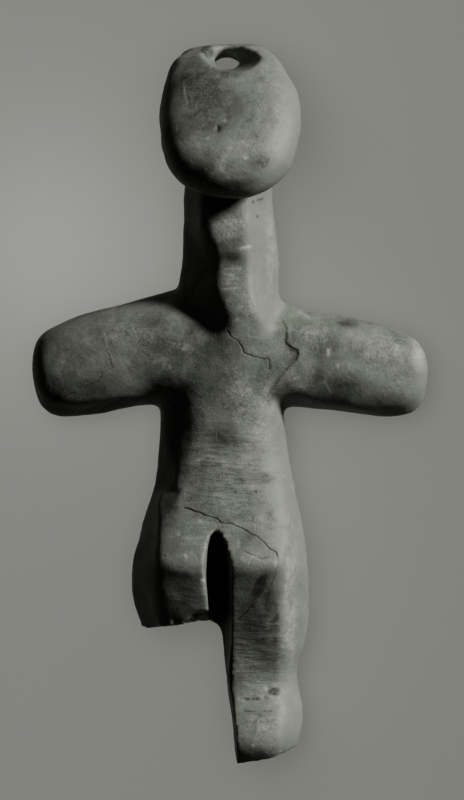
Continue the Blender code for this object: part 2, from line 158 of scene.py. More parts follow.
# across, lower edge, upper edge, back, front, squareness at the lower front, upper front and back,
# then where the front turns down to the lower edge and up to the upper edge
armSections = (
    (-27.65, 54.2, 55.6, 5.0, 6.2, 2.2, 2.2, 2.2, 54.7, 55.2),
    (-27.3, 52.6, 57.8, 3.4, 7.9, 2.3, 2.3, 2.4, 53.8, 56.8),
    (-26.4, 50.0, 59.5, 2.5, 9.2, 2.3, 2.5, 2.6, 52.2, 58.0),
    (-25.0, 48.6, 60.5, 2.0, 9.9, 2.3, 2.6, 2.8, 51.2, 58.8),
    (-23.0, 48.0, 61.4, 1.6, 10.3, 2.3, 2.6, 3.0, 50.6, 59.6),
    (-20.0, 48.1, 62.4, 1.3, 10.6, 2.3, 2.6, 3.0, 50.6, 60.4),
    (-15.0, 49.1, 63.8, 1.0, 10.9, 2.2, 2.6, 3.0, 51.4, 61.4),
    (-11.0, 49.8, 64.9, 0.8, 11.1, 2.0, 2.6, 3.0, 51.6, 62.0),
    (-7.0, 49.0, 65.8, 0.7, 11.3, 2.0, 2.6, 3.0, 51.4, 61.6),
    (0.0, 48.0, 65.4, 0.7, 11.5, 2.1, 2.6, 3.0, 50.8, 60.6),
    (5.0, 48.6, 64.6, 0.7, 11.3, 2.2, 2.6, 3.0, 51.0, 60.4),
    (8.5, 49.4, 63.8, 0.8, 10.9, 2.3, 2.6, 3.0, 51.6, 60.2),
    (12.5, 49.1, 62.5, 1.0, 10.6, 2.4, 2.6, 3.0, 50.6, 60.0),
    (16.0, 48.6, 62.1, 1.2, 10.3, 2.4, 2.6, 3.0, 50.1, 59.8),
    (20.0, 48.2, 61.3, 1.5, 9.9, 2.3, 2.6, 3.0, 49.7, 59.2),
    (23.6, 48.2, 60.3, 1.9, 9.4, 2.3, 2.6, 2.8, 50.0, 58.4),
    (25.6, 48.7, 59.4, 2.4, 8.9, 2.3, 2.5, 2.6, 51.2, 57.8),
    (27.0, 50.2, 57.8, 3.2, 8.0, 2.3, 2.4, 2.4, 52.4, 56.8),
    (27.5, 52.0, 56.2, 4.3, 7.0, 2.2, 2.2, 2.2, 53.4, 55.6),
    (27.65, 53.4, 54.8, 5.2, 6.2, 2.2, 2.2, 2.2, 53.9, 54.4),
)

# along the face, left side, right side, back, front, squareness at the front left, front right and
# back, then where the face turns into the left side and into the right side
headSections = (
    (-12.4, -1.2, 1.6, -0.8, 0.8, 2.2, 2.2, 2.2, -0.8, 1.0),
    (-11.9, -3.3, 3.5, -2.2, 2.2, 2.3, 2.2, 2.2, -2.8, 2.8),
    (-10.9, -5.4, 5.3, -3.1, 3.2, 2.4, 2.2, 2.4, -4.8, 4.3),
    (-9.3, -7.4, 7.0, -3.8, 4.0, 2.5, 2.2, 2.6, -6.8, 5.8),
    (-7.0, -8.8, 8.4, -4.1, 4.5, 2.5, 2.2, 2.6, -8.1, 7.0),
    (-4.0, -9.5, 9.4, -4.2, 4.8, 2.5, 2.2, 2.6, -8.7, 7.8),
    (0.0, -9.75, 9.8, -4.2, 4.9, 2.5, 2.2, 2.6, -8.9, 8.2),
    (3.6, -9.6, 9.7, -4.1, 4.7, 2.5, 2.2, 2.6, -8.8, 8.1),
    (6.6, -9.0, 8.8, -4.0, 4.2, 2.5, 2.3, 2.6, -8.1, 7.2),
    (8.2, -8.5, 8.1, -4.0, 3.7, 2.6, 2.4, 2.6, -7.4, 6.2),
    (9.6, -8.1, 7.5, -3.9, 2.7, 2.6, 2.5, 2.6, -6.8, 5.6),
    (11.2, -7.4, 6.7, -3.9, 1.3, 2.6, 2.6, 2.6, -6.0, 5.0),
    (12.4, -6.8, 6.2, -3.9, 0.2, 2.6, 2.6, 2.5, -5.4, 4.7),
    (13.4, -6.0, 5.6, -3.8, -0.8, 2.5, 2.5, 2.4, -4.6, 4.3),
    (14.1, -4.7, 4.9, -3.4, -1.4, 2.4, 2.4, 2.4, -3.4, 3.8),
    (14.45, -3.0, 3.8, -2.8, -1.9, 2.2, 2.2, 2.2, -2.2, 3.0),
)

# Groove between the legs, looked at from the front: across and height, clockwise from the tip
grooveEdge = (
    (-1.9, 32.6), (-1.2, 32.0), (-0.65, 30.7), (-0.2, 29.0), (0.1, 27.0), (0.2, 24.0),
    (0.3, 18.0), (0.65, 9.0), (1.1, 1.0), (1.3, -4.0), (-4.5, -4.0), (-4.0, 10.0),
    (-3.1, 20.0), (-3.4, 24.0), (-3.5, 27.0), (-3.3, 29.4), (-3.0, 30.8), (-2.6, 32.0),
)
# depth over the table, then how far the left wall, the right wall and the tip have come in there
grooveWalls = (
    (20.0, -0.5, -0.5, -0.3),
    (15.2, 0.0, 0.0, 0.0),
    (13.6, 0.20, 0.1, 0.3),
    (8.0, 0.32, 0.35, 0.6),
    (5.4, 0.7, 0.9, 1.2),
    (4.6, 1.4, 1.5, 2.4),
)

# The facet filed off the hip's corner: across and height
facetEdge = ((-5.95, 37.7), (-9.5, 39.0), (-14.0, 40.0), (-14.0, 29.0), (-7.0, 29.0))

# The broken leg: the break from the outer side to the web, then down the leg that is kept
breakEdge = (
    (-20.0, 18.6), (-12.2, 18.75), (-11.0, 18.95), (-9.4, 19.05), (-8.0, 19.2),
    (-6.6, 19.3), (-5.2, 19.45), (-4.0, 19.5), (-3.2, 19.5), (-2.4, 19.35), (-1.7, 18.9),
    (-1.25, 18.05), (-1.0, 16.6), (-0.6, 14.3), (-0.25, 11.5), (0.05, 8.8),
    (0.3, 6.0), (0.6, 3.2), (0.9, 0.0), (1.0, -6.0), (-20.0, -6.0),
)
# depth over the table, then how far up the leg the break has run there: outside, and at the groove
breakRuns = (
    (-3.0, 0.0, -0.2),
    (1.0, 0.0, 0.0),
    (4.0, 0.35, 0.1),
    (8.0, -0.15, 0.6),
    (11.5, 0.25, 1.2),
    (14.0, 0.0, 2.2),
    (18.0, 0.1, 2.6),
)


def easedSections(sections, count):
    # The rows joined by cubics whose slope at each row is the harmonic mean of its neighbours' slopes.
    rows = np.array(sections, float)
    steps = np.abs(np.diff(rows[:, :5], axis=0)).max(axis=1)
    run = np.concatenate([[0.0], np.cumsum(steps)])
    slope = np.diff(rows, axis=0) / steps[:, None]
    tangent = np.zeros_like(rows)
    before, after = slope[:-1], slope[1:]
    agree = before * after > 0
    tangent[1:-1] = np.where(agree, 2 * before * after / np.where(agree, before + after, 1.0), 0.0)
    tangent[0], tangent[-1] = slope[0], slope[-1]
    place = np.linspace(0, run[-1], count)
    at = np.clip(np.searchsorted(run, place, side="right") - 1, 0, len(run) - 2)
    span = steps[at][:, None]
    t = ((place - run[at]) / steps[at])[:, None]
    return (
        (2 * t**3 - 3 * t**2 + 1) * rows[at]
        + (t**3 - 2 * t**2 + t) * span * tangent[at]
        + (3 * t**2 - 2 * t**3) * rows[at + 1]
        + (t**3 - t**2) * span * tangent[at + 1]
    )


def sweptMass(sections):
    # Grid of rings by turn: a superellipse with its own power in each front corner and at the back,
    # cut down by two planes that run from the front's edges to the sides at half depth.
    rows = easedSections(sections, stoneForm["rings"])
    place, low, high, back, front, lowPower, highPower, backPower, lowEdge, highEdge = (
        rows[:, k : k + 1] for k in range(10)
    )
    turn = np.linspace(0, 2 * np.pi, stoneForm["ringPoints"], endpoint=False)[None, :]
    power = np.where(np.cos(turn) < 0, lowPower, highPower)
    power = np.where(np.sin(turn) < 0, backPower, power)
    reach = np.abs(np.cos(turn)) ** (2 / power) * np.sign(np.cos(turn))
    rise = np.abs(np.sin(turn)) ** (2 / power) * np.sign(np.sin(turn))
    across = (low + high) / 2 + (high - low) / 2 * reach
    side = (back + front) / 2
    depth = side + (front - back) / 2 * rise
    lowPlane = front - (lowEdge - across) * (front - side) / (lowEdge - low)
    highPlane = front - (across - highEdge) * (front - side) / (high - highEdge)
    depth = np.minimum(depth, np.minimum(lowPlane, highPlane))
    return np.broadcast_to(place, across.shape), across, depth


def ringFaces(rings, around):
    # Quads of a grid of rings by points, joined round, as index rows.
    ring = np.arange(rings - 1)[:, None] * around
    point = np.arange(around)[None, :]
    following = (point + 1) % around
    return np.stack(
        [ring + point, ring + following, ring + around + following, ring + around + point], axis=-1
    ).reshape(-1, 4)


def closedSweep(name, x, y, z):
    # A closed mesh from three grids of rings by points in millimetres, with a flat cap at each end.
    rings, around = x.shape
    points = np.stack([x, y, z], axis=-1).reshape(-1, 3) * millimetre
    faces = [tuple(int(i) for i in face) for face in ringFaces(rings, around)]
    faces.append(tuple(range(around)))
    faces.append(tuple(range((rings - 1) * around, rings * around)))
    mesh = bpy.data.meshes.new(name)
    mesh.from_pydata(points.tolist(), [], faces)
    shape = bmesh.new()
    shape.from_mesh(mesh)
    bmesh.ops.recalc_face_normals(shape, faces=shape.faces)
    shape.to_mesh(mesh)
    shape.free()
    return bpy.data.objects.new(name, mesh)


def headFrame():
    # The head's own axes, in millimetres: across, up the face and out of the face, tipped back.
    x, height, depth = stoneForm["headCentre"]
    place = Matrix.Translation(Vector((x, height + stoneForm["soleHeight"], depth)))
    return place @ Matrix.Rotation(math.radians(-stoneForm["headTilt"]), 4, "X")


def carvedMasses():
    # Body, arms and head: the same sweep, carried up the body, across the arms and up the tipped face.
    sole = stoneForm["soleHeight"]
    height, across, depth = sweptMass(bodySections)
    body = closedSweep("body", across, height + sole, depth)
    armAcross, armHeight, armDepth = sweptMass(armSections)
    arms = closedSweep("arms", armAcross, armHeight + sole, armDepth)
    along, across, out = sweptMass(headSections)
    axes = np.array(headFrame())
    local = np.stack([across, along, out, np.ones_like(out)], axis=-1)
    placed = local @ axes.T
    head = closedSweep("head", placed[..., 0], placed[..., 1], placed[..., 2])
    return [body, arms, head]


def grooveTool():
    # The groove's outline carried down through the leg, its walls and tip closing in with depth.
    edge = np.array(grooveEdge)
    walls = np.array(grooveWalls)
    fromTip = np.clip((edge[:, 1].max() - edge[:, 1]) / stoneForm["grooveTip"], 0.0, 1.0)[None, :]
    leftSide = (edge[:, 0] < stoneForm["grooveSplit"])[None, :]
    x = edge[None, :, 0] + np.where(leftSide, walls[:, 1:2], -walls[:, 2:3]) * fromTip
    y = edge[None, :, 1] - walls[:, 3:4] * (1 - fromTip) + stoneForm["soleHeight"]
    z = np.broadcast_to(walls[:, 0:1], x.shape)
    return closedSweep("groove tool", x, y, z)


def breakTool():
    # The break's outline carried up from the table, running further up the leg beside the groove.
    edge = np.array(breakEdge)
    runs = np.array(breakRuns)
    turnAt, turnWidth = stoneForm["breakTurn"]
    webAt, webWidth = stoneForm["breakWeb"]
    onBreak = (edge[:, 1] > stoneForm["breakFoot"])[None, :]
    inner = np.clip((edge[:, 0] - turnAt) / turnWidth, 0.0, 1.0)[None, :]
    web = np.clip((webAt - edge[:, 0]) / webWidth, 0.0, 1.0)[None, :]
    run = runs[:, 1:2] * (1 - inner) + runs[:, 2:3] * inner * web
    x = np.broadcast_to(edge[None, :, 0], run.shape)
    y = edge[None, :, 1] + np.where(onBreak, run, 0.0) + stoneForm["soleHeight"]
    z = np.broadcast_to(runs[:, 0:1], run.shape)
    return closedSweep("break tool", x, y, z)


def drillTools():
    # Two cones that meet at the hole's waist, one from each face: radius grows evenly from the waist.
    axes = headFrame()
    waist = axes @ Vector(stoneForm["holeWaist"])
    tools = []
    for name, mouth, outward in (
        ("front drill", stoneForm["holeMouth"], stoneForm["holeFrontWay"]),
        ("back drill", stoneForm["holeBackMouth"], stoneForm["holeBackWay"]),
    ):
        way = (axes.to_3x3() @ Vector(outward)).normalized()
        widening = (mouth - stoneForm["holeWidth"]) / 2 / stoneForm["mouthRun"]
        ends = (-stoneForm["drillOverlap"], stoneForm["drillReach"])
        along = np.linspace(*ends, stoneForm["drillRings"])[:, None]
        radius = stoneForm["holeWidth"] / 2 + widening * along
        turn = np.linspace(0, 2 * np.pi, stoneForm["drillPoints"], endpoint=False)[None, :]
        side = way.cross(Vector((1, 0, 0))).normalized()
        other = way.cross(side)
        places = [
            waist[k] + way[k] * along + radius * (np.cos(turn) * side[k] + np.sin(turn) * other[k])
            for k in range(3)
        ]
        tools.append(closedSweep(name, *places))
    return tools


def facetTool():
    # the facet's outline carried up from its plane, which rises evenly across and falls up the figure
    edge = np.array(facetEdge)
    x, height, z = stoneForm["facetCorner"]
    plane = z + (edge - np.array([x, height])) @ np.array(stoneForm["facetRise"])
    depth = np.stack([plane, np.full(len(edge), stoneForm["facetTop"])])
    across, up = (np.broadcast_to(edge[:, k], depth.shape) for k in range(2))
    return closedSweep("facet tool", across, up + stoneForm["soleHeight"], depth)


def blockTool(name, size, centre, tip=0.0, swing=0.0):
    # A box in millimetres as a sweep of two square rings, tipped about x and then swung about z.
    corner = np.array([(-0.5, -0.5), (0.5, -0.5), (0.5, 0.5), (-0.5, 0.5)])
    local = np.array([[(x * size[0], y * size[1], z * size[2]) for x, y in corner] for z in (-0.5, 0.5)])
    swung = Matrix.Rotation(math.radians(swing), 3, "Z")
    turn = swung @ Matrix.Rotation(math.radians(tip), 3, "X")
    placed = local @ np.array(turn).T + np.array(centre)
    return closedSweep(name, placed[..., 0], placed[..., 1], placed[..., 2])


def finished(thing):
    # The object's mesh with its modifiers applied, as a new mesh.
    bpy.context.view_layer.update()
    graph = bpy.context.evaluated_depsgraph_get()
    return bpy.data.meshes.new_from_object(thing.evaluated_get(graph))


def roughStone():
    # One skin over the three masses, worn smooth, then cut by the tools and skinned again finely.
    joined = bmesh.new()
    for mass in carvedMasses():
        joined.from_mesh(mass.data)
        bpy.data.objects.remove(mass)
    mesh = bpy.data.meshes.new("stone")
    joined.to_mesh(mesh)
    joined.free()
    stone = bpy.data.objects.new("stone", mesh)
    bpy.context.scene.collection.objects.link(stone)
    skin = stone.modifiers.new("skin", "REMESH")
    skin.mode = "VOXEL"
    skin.voxel_size = stoneForm["grain"] * millimetre
    wear = stone.modifiers.new("wear", "SMOOTH")
    wear.factor = stoneForm["smoothing"]
    wear.iterations = stoneForm["wearPasses"]
    sole = blockTool("sole tool", *stoneForm["soleCut"])
    rest = blockTool("rest tool", *stoneForm["restCut"])
    tools = [sole, facetTool(), grooveTool(), breakTool(), *drillTools(), rest]
    for tool in tools:
        bpy.context.scene.collection.objects.link(tool)
        cut = stone.modifiers.new(tool.name, "BOOLEAN")
        cut.operation = "DIFFERENCE"
        cut.solver = "EXACT"
        cut.object = tool
    fine = stone.modifiers.new("fine skin", "REMESH")
    fine.mode = "VOXEL"
    fine.voxel_size = stoneForm["fineGrain"] * millimetre
    settle = stone.modifiers.new("settle", "SMOOTH")
    settle.factor = stoneForm["smoothing"]
    settle.iterations = stoneForm["settlePasses"]
    result = finished(stone)
    for thing in (stone, *tools):
        bpy.data.objects.remove(thing)
    return result


# Relief: what the carver, wear and breakage left on the skin, all under a millimetre

relief = {
    "frontTurn": (0.1, 0.35),  # the front is where the skin's normal has turned up this far
    "frontDepth": 3.0,  # and lies over this height, in millimetres
    "waviness": ((9.0, 0.10), (3.6, 0.05), (1.5, 0.014)),  # size and height of the skin's waves
    "waveCount": 18,
    "crackDepth": 0.10,
    "crackHalfWidth": 0.105,
    "crackWander": (1.1, 0.05),  # length and width of a crack's straying from its drawn line
    "crackUneven": (2.4, 0.8, 0.25),  # its depth's changes: their length, the middle and the swing
    "crackFade": (0.3, 1.3),  # the dirt in it fades between these, in half widths
    "scarDepth": 0.16,  # the flaked place on the right shoulder
    "scarWidth": 3.6,
    "scarDeepest": 0.1,  # distance from its edge
    "scarWall": 0.2,
    "scarEven": 0.4,  # the share of its depth that it has away from the bend
    "scarLip": (0.06, 0.25, 0.22),  # height, distance and width of the raised edge
    "scarEnds": (0.05, 0.5),  # it fades out between these levels of its soft oval
    "breakRoughness": 0.08,
    "breakGrit": ((0.8, 1.0), (2.1, 0.7)),  # size and share
    "breakBand": (16.0, 17.0, 20.0, 20.6),  # heights between which the broken end lies
    "breakSide": -0.2,  # it lies left of this
    "breakTurned": (0.35, 0.6),  # and its skin faces the feet by this much
    "chipDepth": 0.55,  # the flake off the front edge of the broken leg
    "chipFoot": 19.0,  # it begins at this height
    "chipFade": 0.4,
    "pitDepth": 0.16,
    "pitStretch": 1.3,
    "markFiner": 0.40,  # how far from a mark, and from a crack, the skin's faces are halved
    "crackFiner": 0.24,
    "finerTurn": 0.15,  # only where the skin's normal has turned up this far
    "seed": 7,
}

# Lines that the marks follow, in picture pixels
hipCrack = (
    (184, 506.4), (191, 508), (198.5, 511.2), (208.2, 514.8), (217.9, 517.9), (225, 521.5),
    (234.8, 523.3), (242, 527), (249.4, 531.8), (256.7, 534.8), (264, 541.5), (270, 547),
    (275.5, 550.6), (276.7, 553.6),
)
hipCrackEnd = ((276.7, 553.6), (277.3, 559.7), (274.8, 570.6), (272.4, 576.7), (269.4, 582.7))
shortCrack = ((245.8, 550.6), (250.6, 552.4), (256.7, 554.2), (260.3, 556.7), (266.4, 554.8))
kneeCrack = ((252, 602), (247, 609.4), (242, 613.6), (237.3, 618.5))
shoulderCrack = (
    (227.5, 331.6), (230.8, 335.7), (237.8, 342), (242, 347.7), (243.6, 353.1), (247.4, 355.2),
    (253.2, 357.3), (264, 358.5), (268.5, 359.3), (269.3, 363), (268.3, 369),
)
armCrack = ((80, 389), (90, 384.5), (100, 380), (104, 372), (113, 368), (110, 355))
armNick = ((63, 397), (75, 393))
scarEdge = (
    (283, 320.8), (286.3, 328.2), (286.3, 337.4), (285.5, 342.3), (290.5, 347.3), (297.5, 350.6),
    (298, 355.6), (295.5, 360.6), (289.7, 365.6), (284.7, 371.4), (280.5, 376.3), (276.4, 383),
)
scarPlace = ((281, 352), (30, 52))  # centre and radii, as below
scarBend = ((292, 354), (16, 24))
# where the painted shade beside the scar's step lies: centre and radii
scarEdgeShade = ((292, 354), (13, 20))
neckSwells = (((211, 231), (21, 17), 0.34), ((232, 265), (18, 9), -0.15))  # and height
legChip = ((201, 617), (12, 8))
ankleLines = (((245, 709), (256, 710.5)), ((262, 709), (271, 709.5)))
anklePits = ((240, 697.5), (246, 698.5), (252, 698), (258, 698.5), (263, 697))  # two at each
anklePitSpread = {"aside": 1.5, "radius": (0.8, 1.5)}
pitCluster = {"across": (267, 282), "down": (686, 696), "radius": (0.9, 1.9), "count": 16}
singlePits = ((57, 399, 1.8), (76, 386, 1.2), (219, 133, 2.2), (257, 218, 1.0))  # and radius

# each crack with its share of the depth and of the width, and how dark the dirt in it is
cracks = (
    (hipCrack, 1.0, 1.0, 0.60),
    (hipCrackEnd, 0.4, 0.9, 0.30),
    (shortCrack, 0.5, 0.9, 0.45),
    (kneeCrack, 0.5, 0.9, 0.45),
    (shoulderCrack, 0.8, 0.9, 0.65),
    (armCrack, 0.35, 0.8, 0.35),
    (armNick, 0.4, 0.8, 0.35),
    *((line, 0.3, 0.8, 0.4) for line in ankleLines),
)

# Scratches, nicks and pinholes one by one: points in picture pixels, half width in pixels, and tone,
# above nought where it is pale and below where it is dark
fineMarks = (
    (((185, 91), (185.5, 98)), 0.9, 0.75),
    (((186, 99), (187.5, 108)), 0.7, 0.60),
    (((178.3, 133.5), (178.3, 134.5)), 1.5, 0.80),
    (((241, 145.5), (248, 151.5)), 0.6, 0.60),
    (((176, 60), (190, 58.4), (204, 57.2)), 0.8, 0.35),
    (((217, 80.5), (218.5, 82)), 1.3, 0.55),
    (((266, 84.5), (267, 85)), 1.2, 0.45),
    (((224.5, 125), (226, 125.5)), 1.3, 0.50),
    (((219, 131), (219, 136)), 1.4, -0.75),
    (((207, 144), (209, 143)), 1.0, 0.50),
    (((229, 154), (231, 153)), 1.3, 0.50),
    (((245, 164), (247, 163)), 1.4, 0.60),
    (((212, 178.5), (213.5, 179)), 1.3, 0.55),
    (((206, 175), (207, 174)), 1.0, 0.45),
    (((222, 174), (224, 177)), 1.2, 0.50),
    (((227, 181), (229, 183)), 1.1, 0.50),
    (((205, 190), (207, 190)), 0.9, 0.40),
    (((252.2, 203.8), (253, 203.2)), 1.1, -0.70),
    (((257, 201.3), (261.8, 199.8)), 0.9, -0.65),
    (((257.3, 217.6), (257.3, 218.6)), 1.2, -0.60),
    (((243, 226.8), (243.6, 227.2)), 1.0, 0.50),
    (((240.5, 249.6), (249, 247.6)), 1.7, 0.75),
    (((225, 270), (241, 269.6)), 0.7, 0.65),
    (((226, 276.3), (232, 276)), 0.7, 0.60),
    (((234, 279.6), (238, 279.3)), 0.7, 0.55),
    (((226, 284.4), (230, 284)), 0.8, 0.50),
    (((221.6, 290.3), (236, 289.8)), 0.8, 0.65),
    (((236, 320.6), (238, 320.2)), 1.1, 0.60),
    (((299.6, 311.7), (304.6, 314), (309.5, 320)), 0.8, 0.35),
    (((328.5, 350), (328, 355)), 1.9, 0.85),
    (((324, 380.5), (331.5, 393.5)), 0.7, 0.70),
    (((313.5, 371), (314.4, 373)), 1.1, 0.60),
    (((337.5, 365), (338, 368)), 1.0, 0.60),
    (((186.4, 553), (186.8, 554.4)), 1.7, 0.75),
    (((191, 550), (191.4, 552)), 0.9, 0.50),
    (((179, 533), (179.6, 533.4)), 1.2, 0.50),
    (((200.4, 519.4), (201.6, 520.2)), 1.9, 0.60),
    (((238.6, 537.5), (238.4, 545.5)), 0.9, 0.45),
    (((242.6, 556.4), (243.6, 557.6)), 1.2, 0.50),
    (((251, 555.5), (253, 554.5)), 1.1, 0.45),
    (((275, 560), (275.4, 563)), 1.2, 0.50),
    (((182, 536.4), (208, 536)), 0.5, 0.30),
    (((179, 542.8), (208, 542.6)), 0.5, 0.30),
    (((186, 501.8), (203, 501.4)), 0.6, 0.35),
    (((255.4, 490.6), (256, 491.2)), 1.2, -0.70),
    (((252.4, 516), (252.6, 518)), 0.8, -0.55),
    (((244.4, 504.6), (244.8, 505.4)), 1.0, -0.60),
    (((234.6, 491.6), (236, 491.9)), 0.9, -0.55),
    (((165.6, 553.2), (166.2, 554)), 1.1, -0.50),
    (((233.2, 578), (233.4, 604)), 0.6, 0.45),
    (((202, 578.2), (204, 578.4)), 1.3, 0.85),
    (((266.6, 620), (268, 627)), 0.8, 0.35),
    (((278, 660.6), (278.6, 661.4)), 1.2, 0.70),
    (((281, 645), (282, 646)), 1.1, 0.50),
    (((252.8, 743), (253.6, 743)), 1.2, 0.70),
    (((251.6, 750), (252.6, 750)), 1.2, 0.60),
    (((266, 750), (267, 750)), 1.2, 0.65),
    (((272, 750), (273, 750)), 1.1, 0.60),
    (((280, 749.6), (281, 749.6)), 1.1, 0.60),
    (((100, 352), (104, 358)), 0.7, 0.40),
    (((84, 340), (92, 338)), 0.6, 0.40),
    (((128, 362), (131, 366)), 0.8, 0.45),
    (((62, 362), (64, 363)), 1.1, 0.45),
    (((366, 344), (373, 341)), 0.7, 0.40),
    (((348, 366), (353, 373)), 0.7, 0.45),
    (((222, 404), (223, 405)), 1.1, -0.55),
    (((246, 420), (252, 418)), 0.6, 0.35),
)


def distanceToLine(points, line):
    # from each point to the nearest of the line's segments: the rest after the share along it
    ends = fromPicture(line)
    nearest = np.full(len(points), 1e9)
    for start, end in zip(ends[:-1], ends[1:]):
        run = end - start
        share = np.clip(((points - start) @ run) / (run @ run), 0.0, 1.0)
        nearest = np.minimum(nearest, np.hypot(*(points - start - share[:, None] * run).T))
    return nearest


def sideOfLine(points, line):
    # signed distance: above nought where the point lies right of the nearest segment, going down it
    ends = fromPicture(line)
    nearest = np.full(len(points), 1e9)
    side = np.ones(len(points))
    for start, end in zip(ends[:-1], ends[1:]):
        run = end - start
        offset = points - start
        share = np.clip((offset @ run) / (run @ run), 0.0, 1.0)
        away = np.hypot(*(offset - share[:, None] * run).T)
        closer = away < nearest
        nearest = np.where(closer, away, nearest)
        side = np.where(closer, np.sign(run[0] * offset[:, 1] - run[1] * offset[:, 0]), side)
    return nearest * side


def waves(places, size, seed):
    # a sum of cosine waves in even random directions, their lengths between one and two sizes, over 3,
    # which brings it to about one either way
    rng = np.random.default_rng(seed)
    total = np.zeros(len(places))
    for _ in range(relief["waveCount"]):
        way = rng.normal(size=3)
        way /= np.linalg.norm(way)
        length = size * rng.uniform(1.0, 2.0)
        total += np.cos(places @ way * (2 * np.pi / length) + rng.uniform(0, 2 * np.pi))
    return total / 3.0


def strayed(places):
    # the points seen from the front, each moved aside by two slow waves, so that lines wander
    length, width = relief["crackWander"]
    aside = np.stack([waves(places, length, relief["seed"] + k) for k in (11, 12)], axis=1)
    return places[:, :2] + width * aside


def blot(points, centre, radii, turn=0.0):
    # A soft oval, its centre and radii in picture pixels and its turn in degrees: e to the power of
    # -1.6 times the cube of the distance from the centre, counted in radii.
    offset = (points - fromPicture([centre])[0]) * photoFrame["perMillimetre"]
    c, s = math.cos(math.radians(turn)), math.sin(math.radians(turn))
    along, over = offset[:, 0] * c + offset[:, 1] * s, -offset[:, 0] * s + offset[:, 1] * c
    return np.exp(-1.6 * ((along / radii[0]) ** 2 + (over / radii[1]) ** 2) ** 1.5)


def vertexArray(mesh, what):
    # the vertices' places or normals, one row for each
    values = np.empty(len(mesh.vertices) * 3, np.float32)
    if what == "normal":
        mesh.vertex_normals.foreach_get("vector", values)
    else:
        mesh.vertices.foreach_get(what, values)
    return values.reshape(-1, 3).astype(float)


def finerNear(mesh, lines, width):
    # halves the faces beside the lines, so that a crack or a mark has points of its own
    places = vertexArray(mesh, "co") / millimetre
    near = np.zeros(len(places), bool)
    for line in lines:
        near |= distanceToLine(places[:, :2], line) < width
    near &= vertexArray(mesh, "normal")[:, 2] > relief["finerTurn"]
    shape = bmesh.new()
    shape.from_mesh(mesh)
    edges = [edge for edge in shape.edges if near[edge.verts[0].index] and near[edge.verts[1].index]]
    bmesh.ops.subdivide_edges(shape, edges=edges, cuts=1, use_grid_fill=True)
    bmesh.ops.triangulate(shape, faces=[face for face in shape.faces if len(face.verts) > 4])
    shape.to_mesh(mesh)
    shape.free()


def scarShare(flat):
    # signed distance from the scar's edge in millimetres, and 1 along the scar fading to 0 at its ends
    return sideOfLine(flat, scarEdge), smoothRise(*relief["scarEnds"], blot(flat, *scarPlace))


def pitPlaces():
    # pits as centre across, centre down and radius, in picture pixels
    rng = np.random.default_rng(relief["seed"])
    aside, radius = anklePitSpread["aside"], anklePitSpread["radius"]
    twice = [place for place in anklePits for _ in range(2)]
    pits = [(x + rng.uniform(-aside, aside), y, rng.uniform(*radius)) for x, y in twice]
    sides = [pitCluster[name] for name in ("across", "down", "radius")]
    pits += [tuple(rng.uniform(*side) for side in sides) for _ in range(pitCluster["count"])]
    return pits + list(singlePits)


def shapedSkin(mesh, places, wandering):
    # moves each point along its normal by the sum of the waves, cracks, scars, pits and break marks
    normals = vertexArray(mesh, "normal")
    flat = places[:, :2]
    front = smoothRise(*relief["frontTurn"], normals[:, 2]) * (places[:, 2] > relief["frontDepth"])
    lift = np.zeros(len(places))
    for step, (size, height) in enumerate(relief["waviness"]):
        lift += height * waves(places, size, relief["seed"] + step)

    # a crack is a trough, one less its share of the half width squared, deeper here and there
    length, middle, swing = relief["crackUneven"]
    uneven = middle + swing * waves(places, length, relief["seed"] + 13)
    for line, deep, wide, _ in cracks:
        away = distanceToLine(wandering, line) / (relief["crackHalfWidth"] * wide)
        lift -= front * relief["crackDepth"] * deep * uneven * np.clip(1 - away**2, 0.0, 1.0)

    # the front of the neck swells under the chin and dips again over the chest
    for centre, radii, height in neckSwells:
        lift += front * height * blot(flat, centre, radii)

    # the flaked scar: deepest along its right edge and running out to nothing on the left
    side, along = scarShare(flat)
    wall, even = relief["scarWall"], relief["scarEven"]
    inScar = smoothRise(-relief["scarWidth"], -relief["scarDeepest"], side)
    inScar *= 1 - smoothRise(-wall, wall, side)
    bend = blot(flat, *scarBend)
    lift -= front * relief["scarDepth"] * (even + (1 - even) * bend) * inScar * along
    lipHeight, lipAway, lipWidth = relief["scarLip"]
    lift += front * lipHeight * along * np.exp(-(((side - lipAway) / lipWidth) ** 2))

    for x, y, radius in pitPlaces():
        lift -= front * relief["pitDepth"] * blot(flat, (x, y), (radius * relief["pitStretch"], radius))

    # the broken end of the leg and the web beside it are rough, with a flake off the front edge
    height = places[:, 1] - stoneForm["soleHeight"]
    low, lowFull, highFull, high = relief["breakBand"]
    broken = (
        (1 - smoothRise(highFull, high, height)) * smoothRise(low, lowFull, height)
        * (places[:, 0] < relief["breakSide"]) * smoothRise(*relief["breakTurned"], -normals[:, 1])
    )
    for step, (size, share) in enumerate(relief["breakGrit"]):
        lift += broken * relief["breakRoughness"] * share * waves(places, size, relief["seed"] + 21 + step)
    chip = blot(flat, *legChip) * smoothRise(0.0, relief["chipFade"], height - relief["chipFoot"])
    lift -= front * relief["chipDepth"] * chip

    moved = places + normals * lift[:, None]
    mesh.vertices.foreach_set("co", (moved * millimetre).astype(np.float32).ravel())
    mesh.update()
